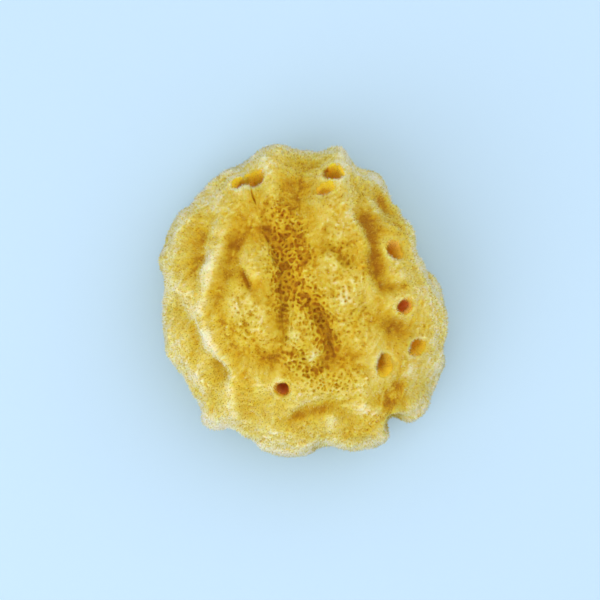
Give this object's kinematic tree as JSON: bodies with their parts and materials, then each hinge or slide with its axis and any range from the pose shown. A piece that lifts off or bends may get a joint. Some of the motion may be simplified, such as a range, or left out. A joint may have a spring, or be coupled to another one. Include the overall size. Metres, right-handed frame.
{
  "type": "sea sponge",
  "caption": "Natural bath sponge: a rounded lump of dried sponge skeleton with folds, furrows and open canal mouths, cut off flat underneath so that it stands.",
  "frame": {"origin": "on the flat cut underneath, at the middle of the lump's box seen from above", "axes": "+Z up, square to the cut; +Y along the lump's longer side; +X to the right when the lump is seen from above with +Y up"},
  "size_m": [0.1328, 0.1456, 0.0753],
  "materials": {
    "spongin": "matt, porous and fibrous, like a coarse dry felt"
  },
  "bodies": {
    "root": {"sponge": "spongin"}
  },
  "joints": []
}
